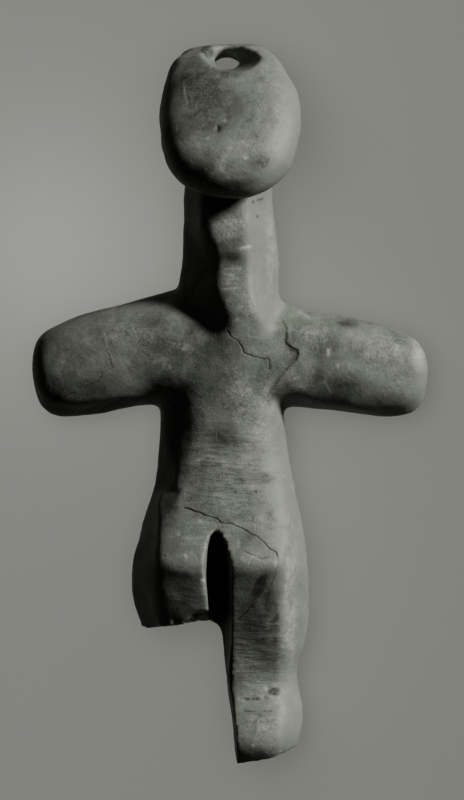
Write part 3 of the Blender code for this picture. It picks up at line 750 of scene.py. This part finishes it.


# Tone marks: dirt that has stayed, with painted shade where the surface turns from the key lamp, skin that
# was knocked pale, with painted light where it turns to the lamp, and where the file has gone across

stainsAndPaintedShade = (  # stains, and painted shade where marked below: centre, radii, turn, strength, in picture pixels and degrees
    ((200, 174), (24, 12), -12, 0.36),
    ((210, 172), (9, 9), 0, 0.36),
    ((260, 166), (20, 13), 20, 0.42),
    ((240, 188), (34, 6), 8, 0.35),
    # painted shade: the face's left half, turned from the key lamp, is painted darker
    ((206, 104), (46, 62), 8, 0.46),
    ((192, 84), (24, 18), 0, 0.50),
    ((228, 78), (20, 8), 0, 0.45),
    ((262, 84), (8, 7), 0, 0.35),
    ((240, 229), (6, 7), 0, 0.35),
    # painted shade in the hollow across the neck, whose upper wall faces away from the key lamp
    ((232, 258), (13, 10), 0, 0.45),
    ((90, 308), (52, 10), 14, 0.55),
    # painted shade along the left arm's underside, which faces away from the key lamp
    ((92, 386), (48, 16), 10, 0.35),
    ((56, 390), (22, 22), 0, 0.40),
    # painted shade down the left arm's end, which faces away from the key lamp
    ((42, 345), (7, 16), 0, 0.35),
    # painted shade in the crease between the left arm and the body
    ((172, 372), (20, 14), -20, 0.15),
    ((350, 323), (22, 8), 0, 0.45),
    ((372, 320), (14, 6), 0, 0.45),
    # painted shade along the right arm's underside, its lower shadow band
    ((344, 386), (48, 19), 0, 0.36),
    ((384, 396), (30, 10), 0, 0.15),
    ((318, 376), (10, 14), 20, 0.40),
    ((262, 382), (12, 26), 0, 0.15),
    # painted shade on the chest and waist where they face down, away from the key lamp
    ((214, 378), (20, 28), 20, 0.22),
    ((226, 440), (26, 26), 0, 0.40),
    ((262, 478), (22, 8), 0, 0.40),
    ((240, 480), (10, 7), 0, 0.45),
    ((270, 520), (10, 20), 0, 0.35),
    ((250, 540), (26, 18), 0, 0.34),
    # painted shade at the hole's left rim, darkening a place that turns towards the key lamp
    ((207, 53), (9, 11), 0, 0.62),
    # painted shade on the facet filed off the hip, which faces away from the key lamp
    ((172, 512), (13, 24), -20, 0.45),
    ((176, 545), (22, 14), 0, 0.25),
    ((180, 590), (28, 26), 0, 0.35),
    ((260, 584), (24, 8), 64, 0.62),
    ((264, 573), (9, 7), 60, 0.45),
    ((268, 600), (10, 26), 0, 0.50),
    ((256, 632), (24, 40), 0, 0.38),
    ((275, 622), (6, 34), 0, 0.60),
    ((274, 691), (9, 5), 0, 0.9),
    ((252, 698), (12, 2.2), 0, 0.6),
    ((262, 746), (34, 8), -6, 0.20),
    # painted shade in the groove between the legs
    ((210, 600), (10, 22), 0, 0.3),
)
# pale knocks, and painted light where marked below: centre, radii, turn, strength, in picture pixels and
# degrees
knocksAndPaintedLight = (
    ((246, 161), (6, 4), 15, 0.8),
    ((224, 122), (5, 9), 0, 0.45),
    ((192, 148), (28, 14), 0, 0.45),
    # painted light down the head's right flank, which faces the key lamp
    ((283, 120), (14, 50), 4, 0.30),
    # painted light on the front of the neck under the chin, which faces the key lamp
    ((226, 230), (24, 15), 20, 1.0),
    ((232, 279), (12, 10), 0, 0.35),
    # painted light on the front of the neck over the chest, where it turns up to the key lamp
    ((246, 306), (14, 22), 20, 0.45),
    # painted light down the neck's right flank, which faces the key lamp
    ((270, 250), (9, 60), 0, 0.45),
    ((327, 352), (3.0, 4.2), 0, 0.8),
    ((314, 338), (20, 18), 0, 0.50),
    ((298, 384), (9, 26), 35, 0.65),
    ((384, 350), (32, 20), 10, 0.55),
    # painted light on the right arm's end, which faces the key lamp
    ((418, 352), (10, 26), 0, 0.60),
    # painted highlight along the ridge that runs from the left arm down to the chest
    ((184, 347), (22, 6), -24, 0.70),
    ((166, 364), (22, 12), -15, 0.60),
    # painted light along the lit middle band of the left arm
    ((112, 334), (52, 15), 10, 0.40),
    ((150, 335), (22, 16), 10, 0.45),
    ((238, 395), (22, 40), 20, 0.50),
    # painted light along the crest of the body, where it turns towards the key lamp
    ((268, 398), (12, 26), 0, 0.60),
    ((262, 428), (12, 34), 0, 0.50),
    ((196, 460), (18, 7), 0, 0.45),
    ((232, 504), (30, 12), 0, 0.30),
    # painted light down the right leg's right flank, which faces the key lamp
    ((290, 600), (10, 120), 0, 0.55),
    ((275, 632), (5, 7), 25, 0.9),
    ((252, 655), (18, 22), 0, 0.30),
    ((262, 722), (26, 14), 0, 0.45),
    ((262, 744), (30, 6), -6, 0.35),
    ((284, 700), (12, 22), 0, 0.35),
)
filedPlaces = (
    ((226, 470), (50, 62), 0, 1.0),
    ((222, 530), (52, 24), 0, 0.6),
    ((254, 650), (34, 58), 0, 1.0),
    ((186, 590), (34, 30), 0, 0.4),
    ((258, 715), (28, 20), 0, 0.5),
    ((232, 280), (14, 16), 0, 0.9),
    ((300, 392), (26, 12), 0, 0.4),
)


paint = {
    "frontTurn": (-0.15, 0.25),  # the painted marks fade where the skin turns from the front
    "litFlankTurn": (0.25, 0.62),  # the flanks that turn to the right, towards the key lamp, were rubbed smooth and are painted paler as painted light
    "sideClouds": (11.0, 0.5, 0.22),  # the back and sides have their own: size, middle and swing
    "scarEdgeShade": (0.55, 0.35, 0.34),  # painted shade beside the scar's step: strength, distance from the scar's edge and width
}


def paintTones(mesh, places, wandering):
    # each tone is a float on the points: the strongest of its marks there, seen from the front
    flat = places[:, :2]
    normals = vertexArray(mesh, "normal")
    front = smoothRise(*paint["frontTurn"], normals[:, 2])
    size, middle, swing = paint["sideClouds"]
    around = np.clip(middle + swing * waves(places, size, relief["seed"] + 31), 0.0, 1.0)
    tones = {}
    # the dirt tone holds real dirt and painted shade, the bruise tone real knocks and painted light
    for name, marks, plain in (
        ("dirt", stainsAndPaintedShade, 0.45), ("bruise", knocksAndPaintedLight, 0.30), ("filed", filedPlaces, 0.25),
    ):
        tone = np.zeros(len(places))
        for centre, radii, turn, strength in marks:
            tone = np.maximum(tone, strength * blot(flat, centre, radii, turn))
        tones[name] = tone * front + plain * around * (1 - front)

    # painted shade lies along the left side of the scar's steep edge, where the step's wall faces away from
    # the key lamp
    side, along = scarShare(flat)
    strength, away, width = paint["scarEdgeShade"]
    under = strength * along * blot(flat, *scarEdgeShade) * np.exp(-(((side + away) / width) ** 2))
    tones["dirt"] = np.maximum(tones["dirt"], under)
    # painted light: the front's flanks that turn to the right, towards the key lamp, are marked for a paler
    # tone and a calmer pattern
    tones["rubbed"] = front * smoothRise(*paint["litFlankTurn"], normals[:, 0])

    tones["crack"] = np.zeros(len(places))
    full, gone = relief["crackFade"]
    for line, _, wide, dark in cracks:
        edge = relief["crackHalfWidth"] * wide
        share = dark * (1 - smoothRise(full * edge, gone * edge, distanceToLine(wandering, line)))
        tones["crack"] = np.maximum(tones["crack"], share * front)

    tones["mark"] = np.zeros(len(places))
    for line, halfWidth, strength in fineMarks:
        away = distanceToLine(flat, line) * photoFrame["perMillimetre"] / halfWidth
        tones["mark"] += strength * front * np.exp(-(away**2))

    for name, tone in tones.items():
        mesh.attributes.new(name, "FLOAT", "POINT").data.foreach_set("value", tone.astype(np.float32))


# Materials

def linearColour(code):
    # An sRGB hex code as linear red, green, blue and one for alpha.
    parts = [int(code[k : k + 2], 16) / 255 for k in (1, 3, 5)]
    return [c / 12.92 if c <= 0.04045 else ((c + 0.055) / 1.055) ** 2.4 for c in parts] + [1.0]


def addNode(tree, kind, settings=None, links=None, output=0):
    # Adds a node of that kind, sets its attributes, puts values or links into its inputs, and gives
    # back the output that is asked for.
    node = tree.nodes.new("ShaderNode" + kind)
    for name, value in (settings or {}).items():
        if name == "stops":
            ramp = node.color_ramp
            while len(ramp.elements) < len(value):
                ramp.elements.new(1.0)
            for element, (position, colour) in zip(ramp.elements, value):
                element.position = position
                element.color = colour
        else:
            setattr(node, name, value)
    for name, value in (links or {}).items():
        if isinstance(value, bpy.types.NodeSocket):
            tree.links.new(value, node.inputs[name])
        else:
            node.inputs[name].default_value = value
    return node.outputs[output]


def newMaterial(name):
    # a material with one shader, to which the caller links what it works out
    material = bpy.data.materials.new(name)
    material.use_nodes = True
    tree = material.node_tree
    tree.nodes.clear()
    output = tree.nodes.new("ShaderNodeOutputMaterial")
    shader = tree.nodes.new("ShaderNodeBsdfPrincipled")
    tree.links.new(shader.outputs["BSDF"], output.inputs["Surface"])
    return material, tree, shader


serpentine = {
    "tones": (  # from dirt in the hollows and painted shade to a fresh knock and painted light
        (0.00, "#23251f"),
        (0.30, "#555850"),
        (0.52, "#7f8379"),
        (0.72, "#9a9e94"),
        (1.00, "#c6c9bf"),
    ),
    "middle": 0.56,
    # size in millimetres, detail, roughness, distortion, share of the tone and share of the relief
    "patterns": {
        "cloud": (5.5, 4, 0.62, 0.4, 0.50, 0.0),
        "mottle": (1.5, 5, 0.66, 0.7, 0.40, 0.34),
        "speck": (0.34, 3, 0.70, 0.0, 0.32, 0.26),  # the stone's grain, drawn coarser so that it shows
        "polish": (0.11, 2, 0.60, 0.0, 0.0, 0.09),  # marks of the last rubbing
    },
    "rubbedAndLitCalm": 0.75,  # how much of the pattern is calmed on the flanks that were rubbed and that face the key lamp
    # painted light: how much paler the flanks that face the key lamp are painted
    "litFlankTone": 0.045,
    "torn": (3.3, 2.2, -1.65),  # how the mottle and the specks tear the painted tones, and the rest
    # where a torn tone begins and is full, and how far it shifts the tone
    "laid": {"dirt": (0.12, 0.95, -0.46), "bruise": (0.15, 1.0, 0.22)},
    "fileSpacing": 0.42,  # millimetres
    "fileAngle": 2.5,
    "fileDraw": (0.14, 0.6),  # how fast the marks change along the file's way, and in depth
    "fileShares": (0.85, 0.9),  # of the tone and of the relief, here and below
    "scratchAngles": (14, 58, -33, -68, 88),
    "scratchLength": 2.9,
    "scratchWidth": 0.125,  # as wide as a pixel, so that it shows
    "scratchDepth": 0.8,
    "scratchCrest": (0.68, 0.77),
    "scratchPatch": (2.8, 0.5),  # size of the first angle's patches, and how much each one adds
    "scratchPlaces": (0.50, 0.62),
    "scratchShares": (0.17, -0.12),
    # turn, dots to a millimetre, radius, where the mottle lets them be, and the shares
    "dots": (
        (0, 1.55, 0.17, (0.46, 0.56), (0.24, 0.10)),  # pale nicks
        (25, 1.4, 0.14, (0.54, 0.45), (-0.30, -0.28)),  # dark pinholes
    ),
    "dotCore": 0.4,  # the share of a dot's radius that is full
    "markTone": 0.46,
    "crackTone": -0.42,
    "roughness": (0.41, 0.30, 0.12, 0.10),  # plain, and what the mottle, dirt and bruises add
    "IOR": 1.55,
    "shine": 0.42,
    "reliefDepth": 0.00015,  # metres
}


def wornSerpentine():
    # Soft green-grey stone, filed, rubbed smooth and long handled: a low sheen broken by clouds of dirt
    # with painted shade, patches of painted light, file marks across the body and pale scratches.
    material, tree, shader = newMaterial("worn serpentine")
    times, timesPlus = {"operation": "MULTIPLY"}, {"operation": "MULTIPLY_ADD"}
    lastStep, soft = {**timesPlus, "use_clamp": True}, {"interpolation_type": "SMOOTHSTEP"}
    place = addNode(tree, "TexCoord", output="Object")
    inMm = addNode(tree, "Mapping", None, {"Vector": place, "Scale": (1 / millimetre,) * 3})
    painted = {
        name: addNode(tree, "Attribute", {"attribute_name": name}, output="Fac")
        for name in ("dirt", "bruise", "filed", "rubbed", "crack", "mark")
    }

    # clouds, mottles, specks and polish, each about nought, added up for the tone and for the relief
    pattern, tone, rise = {}, 0.0, 0.0
    for name, (size, detail, roughness, distortion, toneShare, riseShare) in serpentine["patterns"].items():
        pattern[name] = addNode(
            tree, "TexNoise", None,
            {
                "Vector": inMm, "Scale": 1 / size, "Detail": detail,
                "Roughness": roughness, "Distortion": distortion,
            },
        )
        level = addNode(tree, "Math", {"operation": "SUBTRACT"}, {0: pattern[name], 1: 0.5})
        tone = addNode(tree, "Math", timesPlus, {0: level, 1: toneShare, 2: tone})
        rise = addNode(tree, "Math", timesPlus, {0: level, 1: riseShare, 2: rise})
    calm = addNode(tree, "Math", timesPlus, {0: painted["rubbed"], 1: -serpentine["rubbedAndLitCalm"], 2: 1.0})
    tone = addNode(tree, "Math", timesPlus, {0: tone, 1: calm, 2: serpentine["middle"]})
    rise = addNode(tree, "Math", times, {0: rise, 1: calm})

    # painted light: the flanks that turn to the right, towards the key lamp, are painted paler
    tone = addNode(tree, "Math", timesPlus, {0: painted["rubbed"], 1: serpentine["litFlankTone"], 2: tone})

    # dirt with painted shade, and bruises with painted light: the painted tones, torn at their edges by the
    # mottle and the specks
    byMottle, bySpeck, rest = serpentine["torn"]
    torn = addNode(tree, "Math", timesPlus, {0: pattern["speck"], 1: bySpeck, 2: rest})
    torn = addNode(tree, "Math", timesPlus, {0: pattern["mottle"], 1: byMottle, 2: torn})
    laid = {}
    for name, (low, high, share) in serpentine["laid"].items():
        ragged = addNode(tree, "Math", times, {0: painted[name], 1: torn})
        laid[name] = addNode(tree, "MapRange", soft, {"Value": ragged, "From Min": low, "From Max": high})
        tone = addNode(tree, "Math", timesPlus, {0: laid[name], 1: share, 2: tone})

    # file marks: noise turned to the file's way and drawn out along it
    fileTurn = (0, 0, math.radians(serpentine["fileAngle"]))
    turned = addNode(tree, "Mapping", None, {"Vector": inMm, "Rotation": fileTurn})
    spacing, (alongFile, inDepth) = serpentine["fileSpacing"], serpentine["fileDraw"]
    draw = (alongFile / spacing, 1 / spacing, inDepth)
    drawn = addNode(tree, "Mapping", None, {"Vector": turned, "Scale": draw})
    files = addNode(tree, "TexNoise", None, {"Vector": drawn, "Scale": 1.0, "Detail": 4, "Roughness": 0.7})
    files = addNode(tree, "Math", {"operation": "SUBTRACT"}, {0: files, 1: 0.5})
    filing = addNode(tree, "Math", times, {0: files, 1: painted["filed"]})
    toneShare, riseShare = serpentine["fileShares"]
    tone = addNode(tree, "Math", timesPlus, {0: filing, 1: toneShare, 2: tone})
    rise = addNode(tree, "Math", timesPlus, {0: filing, 1: riseShare, 2: rise})

    # hair scratches: noise drawn out at a few angles, its crests only, each set in patches of its own
    scratches = 0.0
    draw = (1 / serpentine["scratchLength"], 1 / serpentine["scratchWidth"], serpentine["scratchDepth"])
    low, high = serpentine["scratchCrest"]
    firstSize, sizeStep = serpentine["scratchPatch"]
    patchLow, patchHigh = serpentine["scratchPlaces"]
    for step, angle in enumerate(serpentine["scratchAngles"]):
        turned = addNode(tree, "Mapping", None, {"Vector": inMm, "Rotation": (0, 0, math.radians(angle))})
        drawn = addNode(tree, "Mapping", None, {"Vector": turned, "Scale": draw})
        lines = addNode(
            tree, "TexNoise", None, {"Vector": drawn, "Scale": 1.0, "Detail": 1, "Roughness": 0.4},
        )
        crest = addNode(tree, "MapRange", soft, {"Value": lines, "From Min": low, "From Max": high})
        patchSize = firstSize + sizeStep * step
        patch = addNode(tree, "TexNoise", None, {"Vector": turned, "Scale": 1 / patchSize, "Detail": 2})
        patch = addNode(
            tree, "MapRange", soft, {"Value": patch, "From Min": patchLow, "From Max": patchHigh},
        )
        shown = addNode(tree, "Math", times, {0: crest, 1: patch})
        scratches = addNode(tree, "Math", {"operation": "MAXIMUM"}, {0: shown, 1: scratches})
    toneShare, riseShare = serpentine["scratchShares"]
    tone = addNode(tree, "Math", timesPlus, {0: scratches, 1: toneShare, 2: tone})
    rise = addNode(tree, "Math", timesPlus, {0: scratches, 1: riseShare, 2: rise})

    # pale nicks and dark pinholes: dots round scattered points
    for turn, density, radius, (low, high), (toneShare, riseShare) in serpentine["dots"]:
        turned = addNode(tree, "Mapping", None, {"Vector": inMm, "Rotation": (0, 0, math.radians(turn))})
        away = addNode(tree, "TexVoronoi", None, {"Vector": turned, "Scale": density})
        core = serpentine["dotCore"] * radius
        dot = addNode(tree, "MapRange", soft, {"Value": away, "From Min": radius, "From Max": core})
        where = addNode(
            tree, "MapRange", soft, {"Value": pattern["mottle"], "From Min": low, "From Max": high},
        )
        where = addNode(tree, "Math", times, {0: where, 1: calm})
        dot = addNode(tree, "Math", times, {0: dot, 1: where})
        tone = addNode(tree, "Math", timesPlus, {0: dot, 1: toneShare, 2: tone})
        rise = addNode(tree, "Math", timesPlus, {0: dot, 1: riseShare, 2: rise})

    # the drawn marks, and the dirt in the cracks
    tone = addNode(tree, "Math", timesPlus, {0: painted["mark"], 1: serpentine["markTone"], 2: tone})
    tone = addNode(tree, "Math", lastStep, {0: painted["crack"], 1: serpentine["crackTone"], 2: tone})
    stops = [(position, linearColour(code)) for position, code in serpentine["tones"]]
    colour = addNode(tree, "ValToRGB", {"stops": stops}, {"Fac": tone})
    tree.links.new(colour, shader.inputs["Base Color"])

    # handled faces shine a little; dirt and fresh knocks don't, nor the painted shade and painted light
    # laid with them
    plain, byMottle, byDirtAndShade, byBruiseAndLight = serpentine["roughness"]
    rough = addNode(tree, "Math", timesPlus, {0: pattern["mottle"], 1: byMottle, 2: plain})
    rough = addNode(tree, "Math", timesPlus, {0: laid["dirt"], 1: byDirtAndShade, 2: rough})
    rough = addNode(tree, "Math", lastStep, {0: laid["bruise"], 1: byBruiseAndLight, 2: rough})
    tree.links.new(rough, shader.inputs["Roughness"])

    deep = serpentine["reliefDepth"]
    bump = addNode(tree, "Bump", None, {"Height": rise, "Distance": deep, "Strength": 1.0})
    tree.links.new(bump, shader.inputs["Normal"])
    shader.inputs["IOR"].default_value = serpentine["IOR"]
    shader.inputs["Specular IOR Level"].default_value = serpentine["shine"]
    return material


paper = {"colour": "#c3c5bd", "roughness": 0.9, "shine": 0.2}


def mattePaper():
    # The backdrop: pale matte paper, which spreads the light evenly.
    material, _, shader = newMaterial("matte paper")
    shader.inputs["Base Color"].default_value = linearColour(paper["colour"])
    shader.inputs["Roughness"].default_value = paper["roughness"]
    shader.inputs["Specular IOR Level"].default_value = paper["shine"]
    return material


# Studio

studio = {
    "lens": 200.0,
    "lookAtDepth": 8.0,  # millimetres over the table where the picture's scale is true
    "keyWay": (0.78, 0.45, 0.43),  # towards the lamp: low, from the upper right
    "keyDistance": 1.1,  # metres
    "keySize": 0.22,
    "keyPower": 12.9,
    "tableLampPlace": (-0.37, 0.21, 0.82),  # a wide lamp overhead for the paper alone
    "tableLampSize": 0.9,
    "tableLampPower": 3.5,
    "contactLampPlace": (0.0, 0.0, 0.9),  # the part of that light which the stone shades
    "contactPower": 0.9,
    "glowPlace": (-0.026, 0.022, 0.024),  # the paper is brighter beside the head
    "glowSize": 0.012,
    "glowPower": 0.0012,
    "skyColour": "#d9dcd8",
    "fill": 0.02,
    "look": "AgX - Medium High Contrast",  # the crisp greys of a printed plate
    "floorSize": 3.0,
    "floorDrop": 0.00004,
    "clip": (0.01, 20.0),
}


def groupOf(name, things):
    # a collection of the things that a lamp lights or that shade it
    group = bpy.data.collections.new(name)
    for thing in things:
        group.objects.link(thing)
    return group


def makeFloor():
    # a flat sheet just under the stone, which throws no light back up on it
    half, level = studio["floorSize"] / 2, -studio["floorDrop"]
    mesh = bpy.data.meshes.new("floor")
    corners = [(-half, -half, level), (half, -half, level), (half, half, level), (-half, half, level)]
    mesh.from_pydata(corners, [], [(0, 1, 2, 3)])
    mesh.materials.append(mattePaper())
    floor = bpy.data.objects.new("floor", mesh)
    floor.visible_diffuse = False
    bpy.context.scene.collection.objects.link(floor)
    return floor


def addLamp(name, place, facing, size, power, lit, shading=None):
    # a round soft lamp whose back is turned to facing, which lights only the things in lit
    lamp = bpy.data.lights.new(name, "AREA")
    lamp.shape = "DISK"
    lamp.size = size
    lamp.energy = power
    holder = bpy.data.objects.new(name, lamp)
    holder.location = place
    holder.rotation_mode = "QUATERNION"
    holder.rotation_quaternion = Vector(facing).to_track_quat("Z", "Y")
    holder.visible_camera = False
    holder.light_linking.receiver_collection = groupOf(name + " lights", lit)
    if shading:
        holder.light_linking.blocker_collection = groupOf(name + " shaded by", shading)
    bpy.context.scene.collection.objects.link(holder)


def makeLights(figurine, floor):
    key = Vector(studio["keyWay"]).normalized() * studio["keyDistance"]
    table, contact = studio["tableLampPlace"], studio["contactLampPlace"]
    overhead, size = (0.0, 0.0, 1.0), studio["tableLampSize"]
    addLamp("key", key, key, studio["keySize"], studio["keyPower"], [figurine])
    addLamp("table lamp", table, table, size, studio["tableLampPower"], [floor], [floor])
    addLamp("contact lamp", contact, overhead, size, studio["contactPower"], [floor])
    glow, glowSize = studio["glowPlace"], studio["glowSize"]
    addLamp("glow", glow, overhead, glowSize, studio["glowPower"], [floor], [floor])
    world = bpy.data.worlds.new("studio")
    world.use_nodes = True
    sky = world.node_tree.nodes["Background"]
    sky.inputs["Color"].default_value = linearColour(studio["skyColour"])
    sky.inputs["Strength"].default_value = studio["fill"]
    bpy.context.scene.world = world
    bpy.context.scene.view_settings.look = studio["look"]


def makeCamera():
    # Straight down on the figure: the distance gives the picture's scale at the chosen depth.
    data = bpy.data.cameras.new("camera")
    data.lens = studio["lens"]
    tall = photoFrame["height"] / photoFrame["perMillimetre"] * millimetre
    distance = tall * data.lens / data.sensor_width
    centre = fromPicture([(photoFrame["width"] / 2, photoFrame["height"] / 2)])[0] * millimetre
    camera = bpy.data.objects.new("camera", data)
    camera.location = (centre[0], centre[1], distance + studio["lookAtDepth"] * millimetre)
    data.clip_start, data.clip_end = studio["clip"]
    bpy.context.scene.collection.objects.link(camera)
    bpy.context.scene.camera = camera


def makeFigurine():
    mesh = roughStone()
    print("stone cut:", len(mesh.vertices), "points")
    lines = [crack[0] for crack in cracks] + [scarEdge]
    finerNear(mesh, lines + [mark[0] for mark in fineMarks], relief["markFiner"])
    finerNear(mesh, lines, relief["crackFiner"])
    places = vertexArray(mesh, "co") / millimetre
    wandering = strayed(places)
    paintTones(mesh, places, wandering)
    shapedSkin(mesh, places, wandering)
    print("relief and tones done")
    within = np.clip(vertexArray(mesh, "co"), cadLow, cadHigh).astype(np.float32)
    mesh.vertices.foreach_set("co", within.ravel())
    mesh.polygons.foreach_set("use_smooth", np.ones(len(mesh.polygons), bool))
    mesh.materials.clear()
    mesh.materials.append(wornSerpentine())
    mesh.update()
    figurine = bpy.data.objects.new("carved_stone", mesh)
    bpy.context.scene.collection.objects.link(figurine)
    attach(figurine, "root")
    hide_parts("figurine")
    triangles = sum(len(face.vertices) - 2 for face in mesh.polygons)
    print("figurine:", len(mesh.vertices), "points,", triangles, "triangles")
    return figurine


makeCamera()
makeLights(makeFigurine(), makeFloor())
print("studio made")
